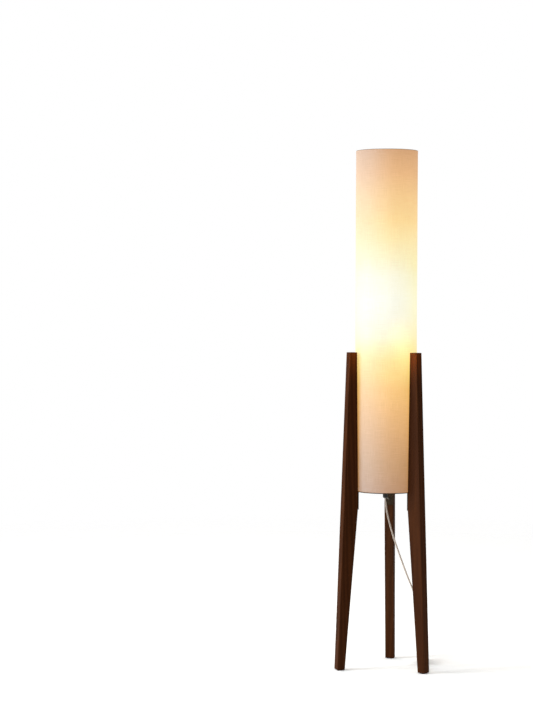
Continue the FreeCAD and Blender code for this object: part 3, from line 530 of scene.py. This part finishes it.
PAINTS = {
    "felt": mottled("felt", (0.030, 0.024, 0.020), (0.062, 0.052, 0.045), (0.9, 1.0),
                    patch=240, grain=3800, grain_depth=0.0003, Sheen_Weight=0.5),
    "bronzed_steel": mottled("bronzed_steel", (0.034, 0.021, 0.011), (0.060, 0.040, 0.022), (0.46, 0.60),
                             patch=90, grain=1400, Metallic=0.35, Specular_IOR_Level=0.12),
    "black_plastic": mottled("black_plastic", (0.010, 0.0095, 0.009), (0.028, 0.026, 0.024), (0.34, 0.50),
                             patch=120, grain=2600, grain_depth=0.00004),
    "black_rubber": mottled("black_rubber", (0.010, 0.010, 0.010), (0.028, 0.027, 0.026), (0.65, 0.85),
                            patch=110, grain=2200, grain_depth=0.00006),
    "porcelain": mottled("porcelain", (0.70, 0.67, 0.60), (0.84, 0.81, 0.75), (0.10, 0.20),
                         patch=80, grain=900, grain_depth=0.00001, Coat_Weight=0.7, Coat_Roughness=0.06),
    "beige_cord": mottled("beige_cord", (0.50, 0.41, 0.34), (0.62, 0.53, 0.45), (0.45, 0.62),
                          patch=45, grain=3200, Sheen_Weight=0.15),
    "tie_wire": mottled("tie_wire", (0.30, 0.26, 0.21), (0.42, 0.37, 0.31), (0.45, 0.62),
                        patch=150, grain=2600, grain_depth=0.00005),
    "switch_plastic": mottled("switch_plastic", (0.50, 0.43, 0.36), (0.58, 0.51, 0.43), (0.22, 0.34),
                              patch=80, grain=2400, Coat_Weight=0.2),
    "plug_plastic": mottled("plug_plastic", (0.44, 0.375, 0.31), (0.54, 0.47, 0.395), (0.40, 0.56),
                            patch=80, grain=2100, grain_depth=0.00005),
    "ring_wire": mottled("ring_wire", (0.60, 0.55, 0.48), (0.74, 0.69, 0.61), (0.35, 0.5),
                         patch=110, grain=1500, Coat_Weight=0.2),
    "bulb_black_glass": mottled("bulb_black_glass", (0.012, 0.012, 0.014), (0.03, 0.03, 0.034),
                                (0.08, 0.16), patch=140, grain=1200, grain_depth=0.00001, Coat_Weight=0.5),
    "screw_steel": brushed("screw_steel", (0.085, 0.072, 0.055), (0.16, 0.14, 0.11), (0.32, 0.48)),
    "stem_brass": brushed("stem_brass", (0.50, 0.36, 0.15), (0.70, 0.53, 0.26), (0.22, 0.36)),
    "contact_brass": brushed("contact_brass", (0.58, 0.42, 0.18), (0.80, 0.62, 0.32), (0.18, 0.30)),
    "copper_core": brushed("copper_core", (0.55, 0.26, 0.15), (0.78, 0.42, 0.27), (0.20, 0.34),
                           waves=(7200, 7200, 7200)),
    "pin_steel": brushed("pin_steel", (0.45, 0.45, 0.44), (0.66, 0.66, 0.65), (0.20, 0.32)),
    "blade_brass": brushed("blade_brass", (0.60, 0.50, 0.28), (0.80, 0.70, 0.45), (0.18, 0.30)),
    "bulb_metal": brushed("bulb_metal", (0.52, 0.52, 0.50), (0.74, 0.74, 0.72), (0.22, 0.38)),
    "bulb_opal": opal_glass("bulb_opal"),
    "bulb_clear": clear_glass("bulb_clear"),
    "shade_backing": shade_backing("shade_backing"),
}
PAINTS = {slot: paint.material for slot, paint in PAINTS.items()}
PAINTS["shade_cloth"] = shade_linen("shade_cloth").material
FILAMENT = glowing_wire("glowing_wire").material


def dress(item, material):
    item.data.materials.clear()
    item.data.materials.append(material)


for part in frame["record"]["subparts"]:
    node = part["node"]
    if node in WALNUTS:
        dress(NODES[node], walnut(node.replace("leg", "walnut"), WALNUTS[node]).material)
    elif node == "bulb_filament":
        dress(NODES[node], FILAMENT)
    else:
        dress(NODES[node], PAINTS[part["material_slot"]])

# ------------------------------------------------------------------------ shade's cloth

# The plain cloth lies just inside its CAD solid; hems and the lapped seam stand out from it.
HEM = 0.009
HEM_PROUD = 0.00025
HEM_STEP = 0.0008
ROLL_HEIGHT = 0.0012
ROLL_DEPTH = 0.0004
CLOTH_INSET = 0.0003
CLOTH_THICK = 0.0005
SEAM_ANGLE = math.radians(97)
SEAM_WIDTH = math.radians(8.5)
SEAM_PROUD = 0.00022
SEAM_LINE = 0.006
SEAM_SLOPE = 0.007
UNEVEN = 0.00010
CALM_EDGE = 0.05
MIDDLE_ROWS = 96
MIDDLE_MARGIN = 0.006
ROUND_STEPS = 176


def round_spot(radius, angle, height):
    return (radius * math.cos(angle), radius * math.sin(angle), height)


def cloth_rows(low, high):
    """Heights of the cloth's rows, close together at both hems."""
    rows = [0, 0.0004, 0.0012, 0.004, HEM - 0.0012, HEM - 0.0004, HEM, HEM + 0.002]
    span = high - low - 2 * HEM - 2 * MIDDLE_MARGIN
    middle = [low + HEM + MIDDLE_MARGIN + i * span / MIDDLE_ROWS for i in range(MIDDLE_ROWS + 1)]
    return [low + r for r in rows] + middle + [high - r for r in reversed(rows)]


def cloth_angles():
    """Angles round the shade, with extra ones at the lapped seam's two edges."""
    steps = [2 * math.pi * i / ROUND_STEPS for i in range(ROUND_STEPS)]
    seam_end = SEAM_ANGLE + SEAM_WIDTH
    edges = [SEAM_ANGLE - SEAM_LINE, SEAM_ANGLE, seam_end, seam_end + SEAM_LINE]
    clear = [a for a in steps if min(abs(a - e) for e in edges) > 2 * SEAM_LINE]
    return sorted(clear + edges)


def cloth_radius(angle, height):
    """Outer radius of the cloth: hems and the seam are two layers, the rest slightly uneven."""
    from_edge = min(height - CLOTH_LOW.z, CLOTH_HIGH.z - height)
    seam_end = SEAM_ANGLE + SEAM_WIDTH
    hem = HEM_PROUD * (1 - smooth_step(HEM - HEM_STEP, HEM, from_edge))
    roll = -ROLL_DEPTH * (1 - smooth_step(0.0, ROLL_HEIGHT, from_edge)) ** 2
    inside_seam = (smooth_step(SEAM_ANGLE - SEAM_SLOPE, SEAM_ANGLE, angle)
                   * (1 - smooth_step(seam_end, seam_end + SEAM_SLOPE, angle)))
    calm = smooth_step(0.0, CALM_EDGE, from_edge)
    waves = math.sin(3 * angle + 9 * height) + math.sin(7 * angle - 23 * height + 1.3)
    uneven = UNEVEN * calm * waves
    return CLOTH_HIGH.x - CLOTH_INSET + hem + roll + SEAM_PROUD * inside_seam + uneven


def make_cloth():
    """The cloth as a closed skin: up the outside, over the top edge and down the inside."""
    rows = cloth_rows(CLOTH_LOW.z, CLOTH_HIGH.z)
    angles = cloth_angles()
    inner = CLOTH_HIGH.x - CLOTH_INSET - CLOTH_THICK
    verts = [round_spot(cloth_radius(angle, height), angle, height)
             for height in rows for angle in angles]
    verts += [round_spot(inner, angle, height) for height in reversed(rows) for angle in angles]
    faces = []
    count, lines = len(angles), 2 * len(rows)
    for line in range(lines):
        after = (line + 1) % lines
        for i in range(count):
            j = (i + 1) % count
            faces.append((line * count + i, line * count + j, after * count + j, after * count + i))
    mesh = bpy.data.meshes.new("shade_cloth")
    mesh.from_pydata(verts, [], faces)
    mesh.shade_smooth()
    mesh.update()
    return link(bpy.data.objects.new("shade_cloth", mesh))


cloth = make_cloth()
dress(cloth, PAINTS["shade_cloth"])
dress(lead_cord, PAINTS["beige_cord"])
dress(long_cord, PAINTS["beige_cord"])

# ------------------------------------------------------------- what rides on which body

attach(cloth, "shade")
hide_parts("shade_fabric")

for cord, nodes in ((lead_cord, ["cord_lead"]), (long_cord, ["cord_bend", "cord_hank", "cord_tail"])):
    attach(cord, "frame")
    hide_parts(*nodes)

# ----------------------------------------------------------------------- floor and light


FLOOR_STEPS = 96
FLOOR_RADII = (0.3, 0.8, 1.6, 2.6, 4.0)
FLOOR_FADE = (1.1, 3.6)


def make_floor():
    """A round pale floor that fades out into the background."""
    mesh = bpy.data.meshes.new("floor")
    count = FLOOR_STEPS
    verts = [(0, 0, 0)]
    verts += [round_spot(r, 2 * math.pi * i / count, 0) for r in FLOOR_RADII for i in range(count)]
    faces = [(0, 1 + i, 1 + (i + 1) % count) for i in range(count)]
    for ring in range(len(FLOOR_RADII) - 1):
        for i in range(count):
            j = (i + 1) % count
            a, b = 1 + ring * count, 1 + (ring + 1) * count
            faces.append((a + i, b + i, b + j, a + j))
    mesh.from_pydata(verts, [], faces)
    mesh.update()
    floor = link(bpy.data.objects.new("floor", mesh))
    paint = Paint("floor")
    distance = paint.add("ShaderNodeVectorMath", {0: paint.spot}, operation="LENGTH").outputs["Value"]
    fade = paint.spread(distance, *FLOOR_FADE, 0.0, 1.0)
    cloud = paint.noise(2.5, detail=3)
    paint.feed(Base_Color=paint.tint(cloud, (0.86, 0.86, 0.855), (0.89, 0.89, 0.885)))
    paint.set(Roughness=0.75, Specular_IOR_Level=0.2)
    clear = paint.add("ShaderNodeBsdfTransparent")
    blend = paint.add("ShaderNodeMixShader", {0: fade})
    paint.join(paint.shader.outputs["BSDF"], blend.inputs[1])
    paint.join(clear.outputs["BSDF"], blend.inputs[2])
    paint.join(blend.outputs["Shader"], paint.output.inputs["Surface"])
    dress(floor, paint.material)


def make_world():
    """White all round for the camera, and a dim, faintly warm fill for everything else."""
    world = bpy.data.worlds.new("studio")
    world.use_nodes = True
    tree = world.node_tree
    tree.nodes.clear()
    output = tree.nodes.new("ShaderNodeOutputWorld")
    blend = tree.nodes.new("ShaderNodeMixShader")
    seen = tree.nodes.new("ShaderNodeBackground")
    fill = tree.nodes.new("ShaderNodeBackground")
    path = tree.nodes.new("ShaderNodeLightPath")
    seen.inputs["Color"].default_value = (1, 1, 1, 1)
    fill.inputs["Color"].default_value = (1.0, 0.97, 0.93, 1)
    fill.inputs["Strength"].default_value = 0.24
    tree.links.new(path.outputs["Is Camera Ray"], blend.inputs[0])
    tree.links.new(fill.outputs[0], blend.inputs[1])
    tree.links.new(seen.outputs[0], blend.inputs[2])
    tree.links.new(blend.outputs[0], output.inputs[0])
    SCENE.world = world


def aimed_light(name, kind, spot, target, power, colour):
    data = bpy.data.lights.new(name, kind)
    data.energy = power
    data.color = colour
    lamp = link(bpy.data.objects.new(name, data))
    lamp.location = spot
    lamp.rotation_mode = "QUATERNION"
    lamp.rotation_quaternion = (Vector(target) - Vector(spot)).to_track_quat("-Z", "Y")
    return data


def area_light(name, spot, target, size, power, colour):
    data = aimed_light(name, "AREA", spot, target, power, colour)
    data.shape = "RECTANGLE"
    data.size, data.size_y = size


def glow_on_leg(name, side, power):
    """Lamplight on one front leg's top, as the real shade, far brighter, would throw it."""
    before_shade = (0, -0.35, 1.08)
    leg_top = (side * 0.088, -0.055, 0.865)
    data = aimed_light(name, "SPOT", before_shade, leg_top, power, (1.0, 0.57, 0.10))
    data.spot_size = math.radians(20)
    data.spot_blend = 1.0
    data.shadow_soft_size = 0.03


def overhead_light():
    """Very soft light from straight above."""
    data = bpy.data.lights.new("overhead", "SUN")
    data.energy = 2.5
    data.angle = math.radians(80)
    link(bpy.data.objects.new("overhead", data))


make_floor()
make_world()
overhead_light()
area_light("left_box", spot=(-2.6, -1.1, 1.3), target=(0, 0, 0.75), size=(1.2, 2.4),
           power=108, colour=(0.90, 0.96, 1.0))
area_light("left_rim", spot=(-1.9, 1.35, 2.1), target=(0, 0, 0.95), size=(0.8, 0.9),
           power=20, colour=(1.0, 0.86, 0.70))
glow_on_leg("glow_left", side=-1, power=13)
glow_on_leg("glow_right", side=1, power=22)
SCENE.view_settings.view_transform = "Standard"
